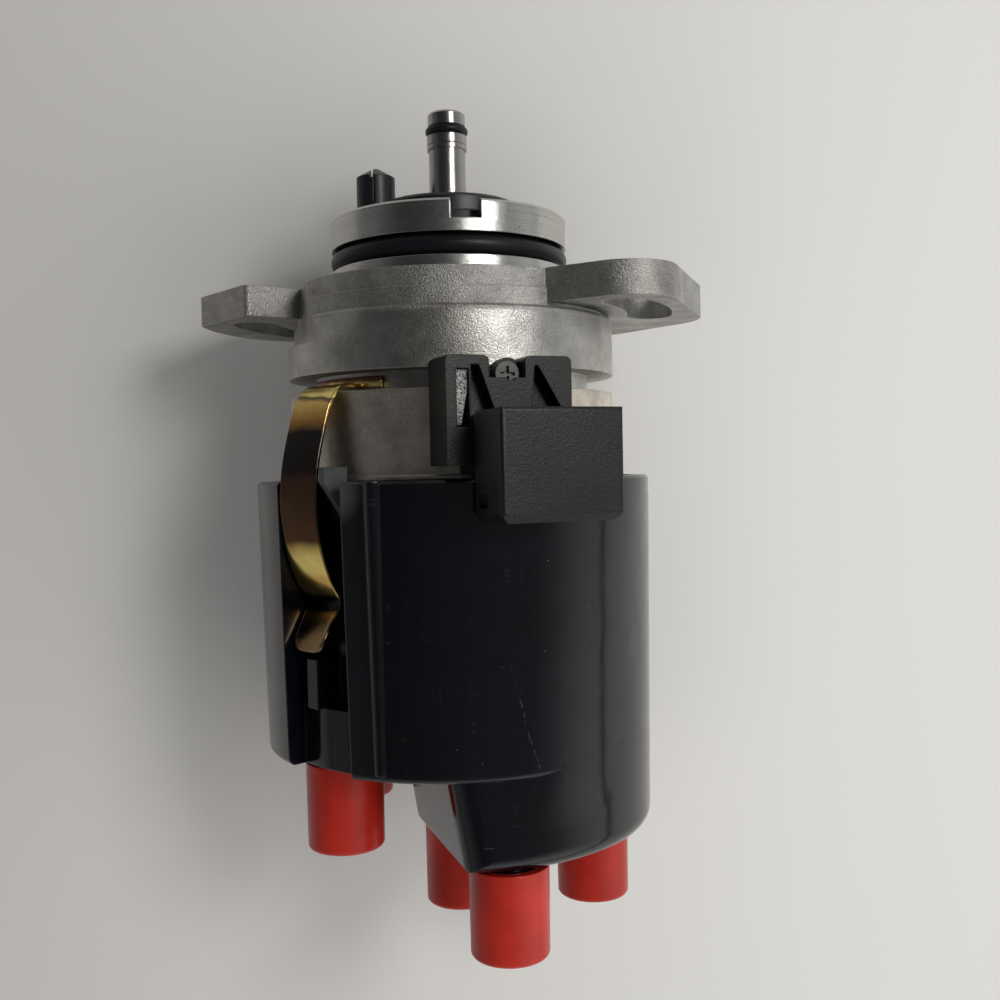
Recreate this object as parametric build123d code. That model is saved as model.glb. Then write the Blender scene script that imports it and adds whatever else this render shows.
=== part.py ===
from build123d import *
import os
from math import atan2, cos, degrees, radians, sin

os.makedirs("parts", exist_ok=True)

# Ignition distributor, millimetres. Every piece is drawn about the local Z axis: the shaft
# axis, drive end at +Z, z = 0 on the flange's mounting face, the plug side at -Y. LAY_DOWN
# then turns the whole object on its side: drive end along +Y, plug side up.
LAY_DOWN = Rot(-90, 0, 0)

# Fits and clearances
press_gap = 0.02          # radial gap of a fixed fit
running_gap = 0.04        # radial gap of the shaft in its bushes
push_gap = 0.08           # red cap on its tower
REACH = 90.0              # longer than anything that is cut

# Spigot and flange
spigot_r = 25.0
spigot_top = 14.2
land_top = 3.3
o_ring_section = 4.1
o_ring_groove_top = 7.8
o_ring_groove_r = 21.05
flange_r = 32.3
flange_depth = 7.5
parting_z = -3.8
parting_step = 0.3
recess_r = 20.6
recess_floor = 9.0
notch_azimuth = 278
notch_width = 6.1
notch_depth = 3.9

# Slotted ears
slot_r = 42.6
slot_width = 9.4
ear_end_r = 10.0          # metal round the centre of a slot's end
right_slot = (-37, -5)
left_slot = (143, 175)
right_ear_depth = 6.6
left_ear_depth = 6.3

# Flat that clears the fixing bolt
flat_azimuth = 196.4
flat_distance = 31.6
flat_bottom = -12.8

# Barrel, clip groove and lower barrel
barrel_r = 34.56
barrel_bottom = -19.3
neck_r = 29.0
neck_bottom = -23.15
lower_r = 34.4
lip_r = 34.7
lip_height = 0.8
rim_z = -40.3
chamber_r = 30.5
chamber_top = -25.5
hub_r = 14.0
hub_bottom = -24.5
core_r = 23.5
core_top = -5.0
rib_thickness = 5.0
rib_azimuths = (45, 135, 225, 315)

# Shaft line
shaft_r = 6.0
shaft_bottom = -54.0
shaft_shoulder = 17.2
neck_shaft_r = 3.9
tip_shoulder_r = 4.25
tip_shoulder_z = 29.7
tip_r = 4.0
tip_top = 37.7
pilot_groove_r = 2.65
pilot_groove = (32.75, 34.85)
pilot_section = 1.9
fine_groove_z = 30.8
bush_r = 8.0
upper_bush = (-8.5, 3.5)
lower_bush = (hub_bottom, -13.0)
seal_r = 11.0
seal_pocket = (4.5, recess_floor)
circlip_top = -25.4
circlip_thick = 1.0
circlip_groove_r = 5.3
washer_r = 9.5

# Drive coupling
coupling_r = 20.2
coupling_z = (9.4, 13.2)
coupling_boss_r = 15.0
boss_top = 17.7
peg_offset = 15.4
peg_r = 4.1
peg_shoulder = 24.1
peg_slope = 1.9           # height of its sloping top
pin_r = 1.25
pin_length = 26.0
pin_z = 15.2

# Trigger rotor and Hall unit
cup_r = 24.0
cup_wall = 1.0
cup_floor = (-39.0, -38.0)
vane_top = -29.4
window_angle = 45
plate_r = 30.3
plate_thick = 1.6
plate_hole_r = 10.0
plate_screw_r = 26.6
plate_screw_azimuths = (25, 145, 235)
plug_azimuth = -70

# Side plug, seated on the barrel
seat_gap = 0.06
seat_r = barrel_r + seat_gap
base_front = seat_r + 5.38
plug_rear = base_front + 2.5
plug_front = plug_rear + 12.5
plug_left = -11.45
plug_right = 12.0
plug_top = -28.0
plug_bottom = -48.0
plug_bevel = 1.5
base_left = -15.8
base_right = 9.2
base_bottom = -39.3
lug_top = -17.85
web_top = -21.9
boss_side = -2.9          # the screw boss's place beside the plug's middle
boss_z = -21.1
boss_r = 3.2
screw_seat = seat_r + 1.68
screw_length = 9.0
screw_r = 1.25
plug_pin_spacing = 5.0
pin_front = plug_front - 5.6
pin_thick = 0.8
nose_half = 8.1           # part of the plug that reaches through the housing's wall
nose_z = (-36.8, -29.2)
nose_gap = 0.2

# Cap
cap_rim_z = -40.35
cap_rim_edge = 0.6
cap_r = 41.7
shallow_z = -96.3
shallow_r = 40.5
deep_z = -114.3
deep_offset = 2.55        # the deep end's own axis lies this far to the plug's right
deep_r = 38.45
deep_rim_r = 39.2
deep_round = 4.0
centre_boss_r = 9.2       # wall round the centre tower, at the deep end
wall_draft = 0.156
wall_angle = 16.0         # the two side walls, from straight fore-and-aft
pocket_ribs = (0, 40, 80, 130, 160, 270, 300, 330)
pocket_rib_thick = 1.8
dome_r = 26.5
dome_ceiling = -76.0
clip_azimuth = 223
ridge_r = 36.2            # catch that the spring clip hooks under
hook_groove_r = 32.8
channel_floor_r = 36.4
channel_left = -6.3       # channel walls, to the left and right of the clip's middle
channel_right = 11.6
fin_z = (-84.4, -74.8)    # upright fin below the clip's tongue
fin_front = 38.4
fin_w = (-1.9, 1.4)
fin_hole = (34.0, -78.9)
lug_face = 8.0            # side face of the locating lug
lug_thick = 1.5
lug_root = 33.0           # inside the channel's floor
lug_outline = [
    (35.1, -37.6), (40.6, -37.6), (40.6, -40.6), (34.5, -49.0), (lug_root, -49.0),
    (lug_root, -41.0), (35.1, -41.0),
]
bead_azimuth = 25.7       # from the channel's middle
tower_r = 5.5
tower_length = 15.6
socket_r = 3.5
socket_depth = 11.0

# Spring clip: strip section, head in the groove, and its bent path as (r, z)
clip_width = 11.5
clip_thick = 0.9
clip_head = (neck_r + 0.35, neck_r + 1.25)
clip_head_z = (-22.4, -20.1)
clip_head_angle = 20.5
clip_path = [
    (neck_r + 0.8, -21.9), (lower_r, -21.9), (lip_r + 2.3, -25.6), (lip_r + 3.6, -29.5),
    (lip_r + 5.8, -38.0), (lip_r + 6.05, -44.0), (ridge_r + 4.0, -50.5), (ridge_r + 2.9, -55.3),
    (ridge_r + 1.2, -59.3), (ridge_r - 1.3, -62.6), (ridge_r - 1.3, -65.2), (ridge_r + 2.4, -73.0),
]

# Towers: name, plan position, end plane they leave
towers = [
    ("dust_cap_centre", 0.0, 0.0, deep_z),
    ("dust_cap_1", -23.3, -16.5, shallow_z),
    ("dust_cap_2", -23.7, 22.0, shallow_z),
    ("dust_cap_3", 9.0, -29.3, deep_z),
    ("dust_cap_4", 28.8, 1.5, deep_z),
]
dust_cap_r = 7.8
dust_cap_gap = 0.4
dust_cap_end = 2.4        # past the tower's end

# High-tension path
electrode_r = 2.0
electrode_ring = 23.3
electrode_azimuths = {"dust_cap_1": 205, "dust_cap_2": 115, "dust_cap_3": 295, "dust_cap_4": 25}
electrode_tip = -57.0
arm_tip_r = 20.8


def rod(radius, z0, z1):
    """A solid cylinder on the shaft axis between two heights."""
    low = min(z0, z1)
    return Pos(0, 0, low) * Cylinder(radius, abs(z1 - z0), align=(Align.CENTER, Align.CENTER, Align.MIN))


def ring(outer, inner, z0, z1):
    """A plain tube on the shaft axis."""
    return rod(outer, z0, z1) - rod(inner, z0, z1)


def block(x0, x1, y0, y1, z0, z1):
    """A box between two corners."""
    middle = Pos((x0 + x1) / 2, (y0 + y1) / 2, (z0 + z1) / 2)
    return middle * Box(x1 - x0, y1 - y0, z1 - z0)


def spun(points, corner=None, rounding=0):
    """A solid turned about Z from an (r, z) outline, with one corner rounded if asked."""
    face = make_face(Polyline(*[(r, 0, z) for r, z in points], close=True))
    if corner:
        target = Vector(corner[0], 0, corner[1])
        near = min(face.vertices(), key=lambda v: (Vector(v) - target).length)
        face = fillet(near, rounding)
    return revolve(face, Axis.Z)


def turned_to(azimuth):
    """Frame whose X runs outward at an azimuth and whose Y runs to the right of it."""
    return Rot(0, 0, azimuth)


def outward_rod(radius, x0, x1, y, z):
    """A cylinder along X between two distances from the axis."""
    place = Pos(x0, y, z) * Rot(0, 90, 0)
    return place * Cylinder(radius, x1 - x0, align=(Align.CENTER, Align.CENTER, Align.MIN))


def prism(points, z0, z1):
    """A plan outline raised between two heights."""
    return Pos(0, 0, z0) * extrude(make_face(Polyline(*points, close=True)), z1 - z0)


def upright(points, y0, y1):
    """An (x, z) outline given thickness along Y."""
    face = make_face(Polyline(*[(x, y1, z) for x, z in points], close=True))
    return extrude(face, amount=y1 - y0, dir=(0, -1, 0))


def on_circle(radius, azimuth):
    """A plan point from polar numbers."""
    return (radius * cos(radians(azimuth)), radius * sin(radians(azimuth)))


def arc_slot(azimuths, z0, z1):
    """A bolt slot curved about the shaft axis."""
    path = CenterArc((0, 0), slot_r, azimuths[0], azimuths[1] - azimuths[0])
    return Pos(0, 0, z0) * extrude(SlotArc(path, slot_width), z1 - z0)


def right_ear():
    """Ear with a rounded near end, drawn round its slot, and a straight far edge."""
    centre = Vector(*on_circle(slot_r, right_slot[0]))
    waist = (19.2, -27.5)
    near = centre + Vector(ear_end_r, 0).rotate(Axis.Z, -127)
    lower = centre + Vector(ear_end_r, 0).rotate(Axis.Z, -82)
    start = centre + Vector(ear_end_r, 0).rotate(Axis.Z, -20)
    edges = [
        Line((12, -18), waist),
        Line(waist, near),
        ThreePointArc(near, lower, start),
        Line(start, (53.4, -3.5)),
        ThreePointArc((53.4, -3.5), (54.5, 2.8), (53.0, 9.0)),
        Line((53.0, 9.0), (39.4, 30.6)),
        Line((39.4, 30.6), (13, 28.5)),
        Line((13, 28.5), (12, -18)),
    ]
    ear = Pos(0, 0, -right_ear_depth) * extrude(make_face(Curve() + edges), right_ear_depth)
    corner = [e for e in ear.edges().filter_by(Axis.Z) if e.center().X > 36 and e.center().Y > 15]
    ear = fillet(corner, 4)
    return ear - arc_slot(right_slot, -20, 5)


def left_ear():
    """Squared tab: a straight side and end, then an arc round to its far corner."""
    edges = [
        Line((-18, 0), (-31.0, -5.1)),
        Line((-31.0, -5.1), (-41.7, -12)),
        Line((-41.7, -12), (-54.2, 4.5)),
        ThreePointArc((-54.2, 4.5), on_circle(55.5, 162), (-46.0, 32.0)),
        ThreePointArc((-46.0, 32.0), (-39.6, 36.6), (-30.5, 36.5)),
        Line((-30.5, 36.5), (-13, 28.6)),
        Line((-13, 28.6), (-18, 0)),
    ]
    ear = Pos(0, 0, -left_ear_depth) * extrude(make_face(Curve() + edges), left_ear_depth)
    corners = [e for e in ear.edges().filter_by(Axis.Z) if e.center().X < -40 and e.center().Y < 6]
    ear = fillet(corners, 1.2)
    return ear - arc_slot(left_slot, -20, 5)


def housing():
    """Cast housing: spigot, flange with ears, barrel, clip groove, lower barrel, cored inside."""
    shoulder = parting_z
    skirt = flange_r + parting_step
    body = spun([
        (0, spigot_top), (spigot_r - 0.5, spigot_top), (spigot_r, spigot_top - 0.5),
        (spigot_r, o_ring_groove_top), (o_ring_groove_r, o_ring_groove_top),
        (o_ring_groove_r, land_top), (spigot_r, land_top), (spigot_r, 0),
        (flange_r, 0), (flange_r, shoulder), (skirt, shoulder), (skirt, -flange_depth),
        (barrel_r - 0.5, -flange_depth), (barrel_r, -flange_depth - 0.5),
        (barrel_r, barrel_bottom), (neck_r, barrel_bottom), (neck_r, neck_bottom),
        (lower_r, neck_bottom), (lower_r, rim_z + lip_height), (lip_r, rim_z + lip_height),
        (lip_r, rim_z), (0, rim_z),
    ])
    body -= turned_to(flat_azimuth) * block(flat_distance, 60, -30, 30, flat_bottom, 0)
    body += right_ear() + left_ear()
    screw_pad = turned_to(plug_azimuth) * block(neck_r - 4, seat_r, boss_side - 3, boss_side + 3,
                                                neck_bottom - 0.5, barrel_bottom + 0.5)
    body += screw_pad & rod(lower_r - 0.2, -30, -10)
    body -= spun([
        (0, 16), (recess_r + 0.6, 16), (recess_r + 0.6, spigot_top), (recess_r, spigot_top - 0.6),
        (recess_r, recess_floor), (seal_r, recess_floor), (seal_r, seal_pocket[0]),
        (bush_r, seal_pocket[0]), (bush_r, upper_bush[0]), (bush_r - 0.8, upper_bush[0]),
        (bush_r - 0.8, lower_bush[1]), (bush_r, lower_bush[1]), (bush_r, hub_bottom),
        (hub_r, hub_bottom), (hub_r, chamber_top), (chamber_r, chamber_top),
        (chamber_r, rim_z - 1), (0, rim_z - 1),
    ])
    core = ring(core_r, hub_r, chamber_top, core_top)
    for azimuth in rib_azimuths:
        half = rib_thickness / 2
        core -= turned_to(azimuth) * block(hub_r - 2, core_r + 2, -half, half, chamber_top, core_top)
    body -= core
    half_notch = notch_width / 2
    body -= turned_to(notch_azimuth) * block(recess_r - 1, 27, -half_notch, half_notch,
                                             spigot_top - notch_depth, 16)
    window_half = nose_half + nose_gap
    body -= turned_to(plug_azimuth) * block(chamber_r - 4.5, seat_r + 2, -window_half, window_half,
                                            nose_z[0] - nose_gap, nose_z[1] + nose_gap)
    hole_end = screw_seat - screw_length - 2
    body -= turned_to(plug_azimuth) * outward_rod(screw_r, hole_end, seat_r + 2, boss_side, boss_z)
    for azimuth in plate_screw_azimuths:
        hole = rod(1.25, chamber_top - 1, chamber_top + 4)
        body -= turned_to(azimuth) * Pos(plate_screw_r, 0, 0) * hole
    return body


def torus_ring(mean_r, section_r, z):
    """A round-section rubber ring."""
    return Pos(0, 0, z) * Torus(mean_r, section_r)


def spigot_o_ring():
    radius = o_ring_section / 2
    return torus_ring(o_ring_groove_r + press_gap + radius, radius, (land_top + o_ring_groove_top) / 2)


def drive_shaft():
    """Stepped steel shaft with a grooved tip, a retaining-ring groove and a cross hole."""
    groove_low = circlip_top - circlip_thick
    shaft = spun([
        (0, shaft_bottom), (shaft_r - 0.6, shaft_bottom), (shaft_r, shaft_bottom + 0.6),
        (shaft_r, groove_low), (circlip_groove_r, groove_low), (circlip_groove_r, circlip_top),
        (shaft_r, circlip_top), (shaft_r, shaft_shoulder), (neck_shaft_r, shaft_shoulder),
        (neck_shaft_r, tip_shoulder_z), (tip_shoulder_r, tip_shoulder_z),
        (tip_shoulder_r, fine_groove_z - 0.15), (tip_shoulder_r - 0.2, fine_groove_z),
        (tip_shoulder_r, fine_groove_z + 0.15), (tip_shoulder_r, pilot_groove[0]),
        (pilot_groove_r, pilot_groove[0]), (pilot_groove_r, pilot_groove[1]),
        (tip_r, pilot_groove[1]), (tip_r, tip_top - 0.5), (tip_r - 0.5, tip_top), (0, tip_top),
    ])
    return shaft - coupling_pin()


def pilot_o_ring():
    radius = pilot_section / 2
    return torus_ring(pilot_groove_r + press_gap + radius, radius, sum(pilot_groove) / 2)


def coupling_pin():
    """Cross pin that ties the coupling to the shaft."""
    return Pos(0, 0, pin_z) * Rot(90, 0, 0) * Cylinder(pin_r, pin_length)


def drive_peg():
    """Eccentric peg with a sloping top and a narrow slit beside its middle."""
    peg = rod(peg_r, coupling_z[1] - 1, peg_shoulder + peg_slope)
    peg = chamfer(peg.edges().sort_by(Axis.Z)[-1], peg_slope, peg_r - 0.8)
    peg -= block(-1.0, -0.4, -REACH, REACH, peg_shoulder - 0.6, REACH)
    peg -= block(-0.25, 0.05, -peg_r - 1, 0.35 - peg_r, boss_top + 0.5, REACH)
    return Pos(-peg_offset, 0, 0) * peg


def drive_coupling():
    """Black coupling: lightened disc, boss and peg, bored for the shaft and its pin."""
    body = spun([
        (shaft_r + press_gap, coupling_z[0]), (coupling_r, coupling_z[0]),
        (coupling_r, coupling_z[1] - 0.4), (coupling_r - 0.4, coupling_z[1]),
        (coupling_boss_r, coupling_z[1]), (coupling_boss_r, boss_top - 0.6),
        (coupling_boss_r - 0.6, boss_top),
        (7.5, boss_top), (7.5, shaft_shoulder - 0.3), (shaft_r + press_gap, shaft_shoulder - 0.3),
    ])
    for azimuth in (35, 145, 215, 325):
        body -= turned_to(azimuth) * Pos(17.6, 0, 0) * rod(1.3, 0, coupling_z[1] + 1)
    return body + drive_peg() - coupling_pin()


def shaft_seal():
    """Lip seal: pressed case and a lip that leans on the shaft."""
    low, high = seal_pocket
    return spun([
        (seal_r - press_gap, low), (seal_r - press_gap, high - 0.3), (shaft_r + 2.0, high - 0.3),
        (shaft_r + running_gap, high - 1.6), (shaft_r + 0.9, high - 2.0), (seal_r - 2.2, high - 1.6),
        (seal_r - 2.2, low),
    ])


def bush(span):
    """Plain bush with a chamfered bore."""
    low, high = span
    bore = shaft_r + running_gap
    return spun([
        (bore, low + 0.4), (bore, high - 0.4), (bore + 0.4, high), (bush_r - press_gap, high),
        (bush_r - press_gap, low), (bore + 0.4, low),
    ])


def thrust_washer():
    return ring(washer_r, shaft_r + running_gap, circlip_top + 0.05, hub_bottom - 0.05)


def shaft_circlip():
    """Open retaining ring in the shaft's groove."""
    clip = ring(8.0, circlip_groove_r + press_gap, circlip_top - circlip_thick + 0.03, circlip_top - 0.03)
    return clip - block(0, 12, -1.5, 1.5, -30, -20)


def base_plate():
    """Carrier plate under the Hall unit, with a breather opening and three screw holes."""
    plate = ring(plate_r, plate_hole_r, chamber_top - plate_thick, chamber_top)
    for azimuth in plate_screw_azimuths:
        plate -= turned_to(azimuth) * Pos(plate_screw_r, 0, 0) * rod(1.6, -30, -20)
    plate -= turned_to(80) * block(14, 22, -5, 5, -30, -20)
    return plate


def pan_screw(head_r, head_height, shank_r, length):
    """Pan-head screw pointing along +Z with its head under z = 0 and a cross slot."""
    screw = rod(head_r, -head_height, 0) + rod(shank_r, 0, length)
    for turn in (0, 90):
        screw -= Rot(0, 0, turn) * block(-head_r * 0.6, head_r * 0.6, -0.3, 0.3,
                                         -head_height - 1, -head_height * 0.55)
    return screw


def base_plate_screws():
    screws = []
    for azimuth in plate_screw_azimuths:
        place = turned_to(azimuth) * Pos(plate_screw_r, 0, chamber_top - plate_thick)
        screws.append(place * pan_screw(2.6, 1.6, 1.25 - press_gap, plate_thick + 3.6))
    return screws


def trigger_rotor():
    """Vane cup with four windows, pressed on the shaft, open toward the carrier plate."""
    bore = shaft_r + press_gap
    cup = spun([
        (bore, -40.3), (8.5, -40.3), (8.5, cup_floor[0]), (cup_r, cup_floor[0]), (cup_r, vane_top),
        (cup_r - cup_wall, vane_top), (cup_r - cup_wall, cup_floor[1]), (8.5, cup_floor[1]),
        (8.5, -34.0), (bore, -34.0),
    ])
    for quarter in range(4):
        half = radians(window_angle / 2)
        reach = cup_r + 4
        slice_plan = [(0, 0), (reach * cos(half), -reach * sin(half)), (reach * cos(half), reach * sin(half))]
        window = prism(slice_plan, cup_floor[1], vane_top + 1) - rod(cup_r - 4, -60, 0)
        cup -= turned_to(45 + 90 * quarter) * window
    return cup


def hall_carrier():
    """Plastic fork that holds the sensor outside and the magnet inside the vane track."""
    top = chamber_top - plate_thick
    foot = block(16.5, 28.4, -4.5, 4.5, top - 1.8, top)
    inner = block(17.2, 21.6, -4, 4, -36.4, top)
    outer = block(24.9, 28.4, -4.5, 4.5, -36.4, top)
    fork = turned_to(plug_azimuth) * (foot + inner + outer)
    return fork - hall_magnet() - hall_sensor()


def hall_magnet():
    return turned_to(plug_azimuth) * block(19.2, 21.6, -2.5, 2.5, -35.5, -30.5)


def hall_sensor():
    return turned_to(plug_azimuth) * block(24.9, 26.6, -2.5, 2.5, -35.5, -30.5)


def plug_pins():
    """Three flat pins, bent from the socket through the wall of the housing."""
    pins = []
    for step in (-1, 0, 1):
        middle = step * plug_pin_spacing
        blade = block(pin_front - pin_thick, pin_front, middle - 1.2, middle + 1.2, plug_bottom + 5, -31.6)
        tail = block(chamber_r - 1.4, pin_front, middle - 1.2, middle + 1.2, -31.6 - pin_thick, -31.6)
        pins.append(turned_to(plug_azimuth) * (blade + tail))
    return pins


def triangle_pocket(left, apex_left, apex_right, foot):
    """Triangular pocket in a lug: upright on its left, slanted on its right."""
    plan = [(left, plug_top), (apex_left, lug_top - 1.8), (apex_right, lug_top - 1.8), (foot, plug_top)]
    face = make_face(Polyline(*[(base_front + 1, y, z) for y, z in plan], close=True))
    return extrude(face, amount=4.5, dir=(-1, 0, 0))


def plug_housing():
    """Side plug: lugged base round the barrel, bevelled socket box open toward the cap."""
    inside = neck_r - 1
    base = block(inside, base_front, base_left, base_right, base_bottom, web_top)
    base -= block(inside, base_front + 1, base_left - 1, -10.7, base_bottom - 1, base_bottom + 1.5)
    base += block(inside, base_front, base_left, -7.3, web_top, lug_top)
    base += block(inside, base_front, -0.2, base_right, web_top, lug_top)
    lug_tops = [e for e in base.edges().filter_by(Axis.X) if e.center().Z > lug_top - 0.1]
    base = fillet(lug_tops, 1.2)
    base += outward_rod(boss_r, inside, base_front - 3.7, boss_side + 0.8, boss_z)
    base += block(seat_r, plug_rear + 1, -9, 9, base_bottom, plug_top - 1)
    base -= rod(seat_r, -50, -10)
    box = block(plug_rear, plug_front, plug_left, plug_right, plug_bottom, plug_top)
    low = [e for e in box.edges() if e.center().Z < plug_bottom + 0.1 and e.center().X > plug_rear + 1]
    box = chamfer(low, plug_bevel)
    front = [e for e in box.edges() if e.center().X > plug_front - 0.1]
    sides = [e for e in front if e.center().Z > plug_bottom + plug_bevel + 0.1]
    box = fillet(sides, 0.8)
    body = base + box
    body -= block(plug_rear + 1.8, plug_front - 2, -9.5, 9.5, plug_bottom - 12, plug_top - 5.5)
    body -= block(inside, base_front + 1, base_left + 2.1, base_left + 4.5, -30.9, -20.4)
    body -= triangle_pocket(-10.9, -10.9, -9.3, -6.3)
    body -= triangle_pocket(1.0, 1.7, 2.4, 7.4)
    body -= block(plug_rear + 1.3, plug_rear + 5.5, plug_left - 1, -9, -45.4, -42.9)
    body += block(chamber_r - 1.1, seat_r + 1, -nose_half, nose_half, *nose_z)
    body -= outward_rod(2.7, screw_seat, screw_seat + 2.1, boss_side, boss_z)
    body = turned_to(plug_azimuth) * body
    for pin in plug_pins():
        body -= pin
    return body - turned_to(plug_azimuth) * outward_rod(screw_r + 0.1, inside, base_front, boss_side, boss_z)


def plug_screw():
    """Screw that holds the plug's half-round boss to the housing."""
    place = turned_to(plug_azimuth) * Pos(screw_seat, boss_side, boss_z) * Rot(0, -90, 0)
    return place * pan_screw(2.4, 1.7, screw_r - press_gap, screw_length)


def dust_cover():
    """Shield between the trigger rotor and the rotor arm."""
    return ring(28.3, 10.0, -42.9, -41.5)


def rotor_arm():
    """Moulded arm on the shaft's end, with a trough for the resistor."""
    arm = rod(9.0, -58.0, -41.0)
    arm += block(-9, 18.5, -4, 4, -60.0, -55.5)
    arm += ring(16.0, 8.0, -57.2, -55.5) & block(-20, 2, -20, 20, -70, -40)
    arm -= rod(shaft_r + press_gap, shaft_bottom, -40)
    return arm - rotor_resistor() - rotor_contact()


def rotor_resistor():
    return Pos(10.0, 0, -59.0) * Rot(0, 90, 0) * Cylinder(1.5, 7.0)


def rotor_contact():
    """Brass centre button with its tail, and the wide firing tip."""
    button = rod(3.0, -61.0, -60.0) + block(0, 6.5, -2, 2, -60.4, -58.4)
    tip = block(13.5, 17.5, -2, 2, -60.4, -58.4)
    blade = (rod(arm_tip_r, -61.2, -58.8) - rod(16.0, -70, -50)) & block(0, 30, -7, 7, -70, -50)
    return [button, tip + blade]


def electrode(name, x, y, end_plane):
    """Post beside the rotor, a link inside the ceiling and a stem down into its tower."""
    post = Pos(*on_circle(electrode_ring, electrode_azimuths[name])) * rod(electrode_r, -83.0, electrode_tip)
    start = Vector(*on_circle(electrode_ring, electrode_azimuths[name]))
    step = Vector(x, y) - start
    link = SlotCenterToCenter(step.length, 2 * electrode_r - 0.6)
    angle = Vector(1, 0, 0).get_signed_angle(step, Vector(0, 0, 1))
    middle = start + step * 0.5
    link = Pos(middle.X, middle.Y, -83.0) * Rot(0, 0, angle) * extrude(link, 2.6)
    stem = Pos(x, y) * rod(electrode_r, end_plane - tower_length + socket_depth - 2.5, -83.0)
    return post + link + stem


def side_electrodes():
    return [electrode(*tower) for tower in towers if tower[0] in electrode_azimuths]


def centre_terminal():
    low = deep_z - tower_length + socket_depth - 2.5
    return rod(electrode_r, low, -80.0)


def carbon_brush():
    return rod(2.4, -72.0, -61.1)


def brush_spring():
    """Coil spring behind the brush."""
    helix = Helix(pitch=1.6, height=6.4, radius=1.7)
    wire = Plane(origin=helix @ 0, z_dir=helix % 0) * Circle(0.3)
    return Pos(0, 0, -79.2) * sweep(wire, path=helix)


def deep_plan(z):
    """Plan of the deep end's left limit: two side walls that run tangent to the centre boss."""
    radius = centre_boss_r + wall_draft * (z - deep_z)
    lean = radians(wall_angle)
    touch = (-radius * cos(lean), -radius * sin(lean))
    far = (touch[0] + 70 * sin(lean), touch[1] - 70 * cos(lean))
    outline = [
        Line((80, far[1]), far),
        Line(far, touch),
        ThreePointArc(touch, (-radius, 0), (touch[0], -touch[1])),
        Line((touch[0], -touch[1]), (far[0], -far[1])),
        Line((far[0], -far[1]), (80, -far[1])),
        Line((80, -far[1]), (80, far[1])),
    ]
    return Pos(0, 0, z) * make_face(Curve() + outline)


def clip_channel():
    """Recess for a spring clip, drawn with X outward: ridge, hook groove, floor below."""
    plan = [(20, channel_left), (50, channel_left), (50, channel_right + 0.6), (20, channel_right - 0.6)]
    open_side = prism(plan, -100, -38)
    floor = spun([
        (0, -38), (ridge_r - 1.2, -38), (ridge_r - 1.2, -56.5), (ridge_r, -58.2), (ridge_r, -59.6),
        (hook_groove_r, -60.2), (hook_groove_r, fin_z[0]), (channel_floor_r, fin_z[0]),
        (channel_floor_r, -100), (0, -100),
    ])
    return open_side - floor


def cap_body():
    """Outer form: shallow end, and a deep end on its own axis that ends in two side walls."""
    shallow = spun([
        (0, cap_rim_z), (cap_r - cap_rim_edge, cap_rim_z), (cap_r, cap_rim_z - cap_rim_edge),
        (shallow_r, shallow_z), (0, shallow_z),
    ], (shallow_r, shallow_z), 1.5)
    deep = spun([(0, cap_rim_z - 4), (deep_rim_r, cap_rim_z - 4), (deep_r, deep_z), (0, deep_z)],
                (deep_r, deep_z), deep_round)
    side = loft([deep_plan(deep_z), deep_plan(-80)], ruled=True)
    foot = [e for e in side.edges() if e.center().Z < deep_z + 0.1 and e.center().X < 30]
    side = fillet([e for e in foot if abs(e.center().Y) < 60], 1.6)
    deep = Pos(deep_offset, 0, 0) * deep
    right_side = deep & block(10, REACH, -REACH, REACH, deep_z - 1, 0)
    return shallow + (deep & side) + right_side


def bead():
    """Tapered half-round bead down the skirt, leaning with its draft."""
    length = cap_rim_z - shallow_z - 1.5
    lean = atan2(cap_r - shallow_r, length)
    rod_shape = Cone(1.4, 1.9, length)
    return Pos((cap_r + shallow_r) / 2 - 0.9, 0, (cap_rim_z + shallow_z + 1.5) / 2) * Rot(
        0, degrees(lean), 0) * rod_shape


def cap_pocket():
    """Ring-shaped lightening pocket round the dome, open at the rim, crossed by ribs."""
    ring_cut = spun([
        (34.4, -35), (39.2, -35), (37.2, shallow_z + 6), (30.0, shallow_z + 6), (30.0, -46.0), (34.4, -44.0),
    ])
    for turn in (0, 180):
        solid_part = prism([(20, -9.5), (60, -9.5), (60, 17), (20, 15)], deep_z, 0)
        ring_cut -= turned_to(clip_azimuth + turn) * solid_part
    half = pocket_rib_thick / 2
    for azimuth in pocket_ribs:
        ring_cut -= turned_to(azimuth) * block(20, REACH, -half, half, deep_z, -45)
    return ring_cut


def distributor_cap():
    """One moulding: deep skirt with two clip channels, dome inside, towers at the ends."""
    body = cap_body()
    for turn in (0, 180):
        place = turned_to(clip_azimuth + turn)
        body -= place * clip_channel()
        body += place * block(30, fin_front, *fin_w, *fin_z)
        body -= place * Pos(fin_hole[0], fin_w[1] - 0.8, fin_hole[1]) * Rot(90, 0, 0) * Cylinder(0.9, 2.4)
        body += place * upright(lug_outline, lug_face - lug_thick, lug_face)
        body += turned_to(clip_azimuth + turn + bead_azimuth) * bead()
    body -= cap_pocket()
    body += ring(chamber_r - 0.12, 28.4, cap_rim_z, -37.4)
    body -= rod(dome_r, dome_ceiling, -30)
    body -= rod(28.4, -43.0, -30)
    body -= rod(2.5, -80.0, dome_ceiling + 4)
    for name, x, y, end_plane in towers:
        end = end_plane - tower_length
        body += Pos(x, y) * (rod(tower_r, end, end_plane + 3))
        body -= Pos(x, y) * rod(socket_r, end - 1, end + socket_depth)
    for terminal in side_electrodes():
        body -= terminal
    return body - centre_terminal()


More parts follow.
